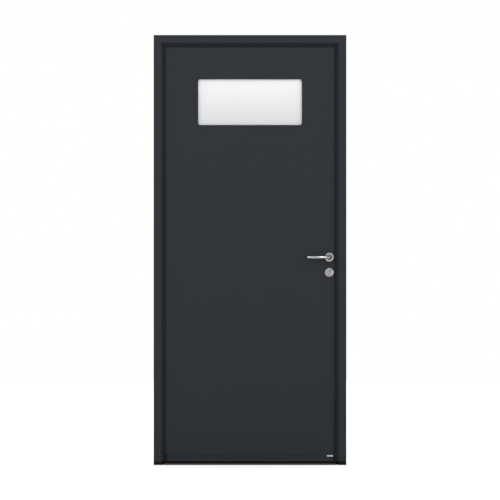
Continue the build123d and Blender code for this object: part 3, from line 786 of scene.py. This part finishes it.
studio = {
    "paper": "#dedede",
    "floorHalfWidth": 9.0,  # m
    "fibreSize": 8.0, "fibre": 0.01,  # mm, and how far the paper's tone drifts
    "floorLift": 0.62,  # what brings the paper to white in the picture, with its shadow kept
    # brightness of the room as a matt surface gathers it, from each side
    "mattFront": 0.45, "mattSide": 0.45, "mattTop": 0.34,
    # brightness of the room as it mirrors in paint and metal
    "mirrorFront": 0.28, "mirrorStrip": 2.8, "mirrorSide": 0.05, "mirrorTop": 0.12,
    # brightness of the backdrop as the frosted pane gathers it from behind the door
    "throughGlass": 1.25,
    "floorDrop": 0.2,  # mm below the sill's underside
    # the two tall strip boxes either side of the camera: the x of their sides' direction, the z
    # of their tops', and how soft their edges are
    "stripFrom": 0.13, "stripTo": 0.30, "stripTop": 0.80, "stripEdge": 0.04,
    # where the front wall turns into the sides, by x, and the walls into the ceiling, by z
    "sideFrom": 0.35, "sideTo": 0.75, "topFrom": 0.55, "topTo": 0.9,
    # where metal starts to mirror white: on the floor in m behind the door, in the room by y
    "whiteFloorFrom": 0.0, "whiteFloorTo": 0.6, "whiteFrom": 0.15, "whiteTo": 0.45,
}


def backdropSeen(tree, behind):
    # how far a ray shows the white backdrop: what the eye sees directly or through glass,
    # and what metal mirrors from behind the door
    path = addNode(tree, "ShaderNodeLightPath")
    mirrored = addNode(tree, "ShaderNodeMath", {0: path.outputs["Is Glossy Ray"], 1: behind}, operation="MULTIPLY")
    direct = addNode(
        tree, "ShaderNodeMath",
        {0: path.outputs["Is Camera Ray"], 1: path.outputs["Is Transmission Ray"]}, operation="MAXIMUM",
    )
    return addNode(
        tree, "ShaderNodeMath", {0: mirrored.outputs["Value"], 1: direct.outputs["Value"]}, operation="MAXIMUM",
    ).outputs["Value"]


def easedStep(tree, value, start, end, low, high):
    # a soft step from one level to another
    return addNode(
        tree, "ShaderNodeMapRange",
        {"Value": value, "From Min": start, "From Max": end, "To Min": low, "To Max": high},
        interpolation_type="SMOOTHSTEP",
    ).outputs["Result"]


def paperFloor():
    # Matt seamless paper: pale, with a lift for the eye that turns it white and keeps the shadow.
    material, tree, output, coordinates = newMaterial("seamlessPaper")
    fibre = addNode(
        tree, "ShaderNodeTexNoise",
        {"Vector": coordinates, "Scale": cyclesPerMetre(studio["fibreSize"]), "Detail": 2.0},
    )
    tone = addNode(
        tree, "ShaderNodeMapRange",
        {"Value": fibre.outputs["Fac"], "To Min": 1 - studio["fibre"], "To Max": 1 + studio["fibre"]},
    )
    colour = addNode(
        tree, "ShaderNodeMix",
        {"Factor": 1.0, "A": linearColour(studio["paper"]), "B": tone.outputs["Result"]},
        data_type="RGBA", blend_type="MULTIPLY",
    )
    paper = addNode(tree, "ShaderNodeBsdfDiffuse", {"Color": colour.outputs["Result"]})
    place = addNode(tree, "ShaderNodeSeparateXYZ", {"Vector": coordinates})
    behind = easedStep(
        tree, place.outputs["Y"], studio["whiteFloorFrom"], studio["whiteFloorTo"], 0.0, 1.0,
    )
    lift = addNode(
        tree, "ShaderNodeMath", {0: backdropSeen(tree, behind), 1: studio["floorLift"]}, operation="MULTIPLY",
    )
    glow = addNode(tree, "ShaderNodeEmission", {"Strength": lift.outputs["Value"]})
    both = addNode(tree, "ShaderNodeAddShader", {0: paper.outputs["BSDF"], 1: glow.outputs["Emission"]})
    tree.links.new(both.outputs["Shader"], output.inputs["Surface"])
    return material


def floorPiece():
    mesh = bmesh.new()
    size = studio["floorHalfWidth"]
    corners = [
        mesh.verts.new((x * size, y * size, -studio["floorDrop"] * mm))
        for x, y in ((-1, -1), (1, -1), (1, 1), (-1, 1))
    ]
    mesh.faces.new(corners)
    data = bpy.data.meshes.new("studio_floor")
    mesh.to_mesh(data)
    mesh.free()
    data.materials.append(paperFloor())
    piece = bpy.data.objects.new("studio_floor", data)
    bpy.context.scene.collection.objects.link(piece)


floorPiece()


def studioWorld():
    # White behind the object, also in metal and glass. On the photographer's side it is a soft
    # room with dim walls and two strip boxes, so that the frame's slopes fall darker than its faces.
    world = bpy.data.worlds.new("studio")
    world.use_nodes = True
    tree = world.node_tree
    tree.nodes.clear()
    direction = addNode(tree, "ShaderNodeTexCoord").outputs["Generated"]
    parts = addNode(tree, "ShaderNodeSeparateXYZ", {"Vector": direction})
    across = addNode(tree, "ShaderNodeMath", {0: parts.outputs["X"]}, operation="ABSOLUTE").outputs["Value"]

    def mixed(factor, first, second):
        return addNode(
            tree, "ShaderNodeMix", {"Factor": factor, "A": first, "B": second}, data_type="FLOAT",
        ).outputs["Result"]

    def levels(front, side, top):
        level = easedStep(tree, across, studio["sideFrom"], studio["sideTo"], front, side)
        overhead = easedStep(tree, parts.outputs["Z"], studio["topFrom"], studio["topTo"], 0.0, 1.0)
        return mixed(overhead, level, top)

    matt = levels(studio["mattFront"], studio["mattSide"], studio["mattTop"])
    edge = studio["stripEdge"]
    stripInner = easedStep(tree, across, studio["stripFrom"] - edge, studio["stripFrom"] + edge, 0.0, 1.0)
    stripOuter = easedStep(tree, across, studio["stripTo"] - edge, studio["stripTo"] + edge, 1.0, 0.0)
    stripEnd = easedStep(tree, parts.outputs["Z"], studio["stripTop"] - edge, studio["stripTop"] + edge, 1.0, 0.0)
    strip = addNode(tree, "ShaderNodeMath", {0: stripInner, 1: stripOuter}, operation="MULTIPLY")
    strip = addNode(tree, "ShaderNodeMath", {0: strip.outputs["Value"], 1: stripEnd}, operation="MULTIPLY")
    mirror = mixed(
        strip.outputs["Value"],
        levels(studio["mirrorFront"], studio["mirrorSide"], studio["mirrorTop"]), studio["mirrorStrip"],
    )
    path = addNode(tree, "ShaderNodeLightPath")
    room = mixed(path.outputs["Is Glossy Ray"], matt, mirror)
    white = mixed(path.outputs["Is Transmission Ray"], 1.0, studio["throughGlass"])
    behind = easedStep(tree, parts.outputs["Y"], studio["whiteFrom"], studio["whiteTo"], 0.0, 1.0)
    level = mixed(backdropSeen(tree, behind), room, white)
    background = addNode(tree, "ShaderNodeBackground", {"Strength": level})
    output = addNode(tree, "ShaderNodeOutputWorld")
    tree.links.new(background.outputs["Background"], output.inputs["Surface"])
    background.inputs["Color"].default_value = (1, 1, 1, 1)
    bpy.context.scene.world = world


studioWorld()

# Large soft lamps far off: where each stands, seen from the door, how wide it looks, how bright
lamps = {
    "lampFrontLeft": {"from": (-1.1, -1.0, 0.06), "angle": 60, "power": 1.35},
    "lampFrontRight": {"from": (1.1, -1.0, 0.06), "angle": 60, "power": 1.35},
    "lampBack": {"from": (0.12, 1.0, 0.30), "angle": 60, "power": 1.3},
    "lampLeft": {"from": (-1.0, 0.35, 0.30), "angle": 40, "power": 0.9},
    "lampRight": {"from": (1.0, 0.35, 0.30), "angle": 40, "power": 0.9},
}
for name, look in lamps.items():
    lamp = bpy.data.lights.new(name, "SUN")
    lamp.energy = look["power"]
    lamp.angle = math.radians(look["angle"])
    holder = bpy.data.objects.new(name, lamp)
    holder.rotation_euler = Vector(look["from"]).to_track_quat("Z", "Y").to_euler()
    # the room's strip boxes are what mirrors in metal and paint, and the backdrop alone shows
    # through the frosted pane
    holder.visible_glossy = False
    holder.visible_transmission = False
    bpy.context.scene.collection.objects.link(holder)
print("studio made")


# Camera: level and square on, far enough away that the door shows no perspective

view = {"lens": 200.0, "sensor": 36.0, "pictureWidth": 2.5475}  # mm, mm, m at the door
camera = bpy.data.cameras.new("camera")
camera.lens = view["lens"]
camera.sensor_width = view["sensor"]
holder = bpy.data.objects.new("camera", camera)
low, high = cadBounds
distance = view["pictureWidth"] * view["lens"] / view["sensor"]
holder.location = (0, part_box("jamb_left")[0].y - distance, (low.z + high.z) / 2)
holder.rotation_euler = (math.radians(90), 0, 0)
camera.clip_end = 100
bpy.context.scene.collection.objects.link(holder)
bpy.context.scene.camera = holder
bpy.context.scene.view_settings.view_transform = "Standard"

print("camera placed")
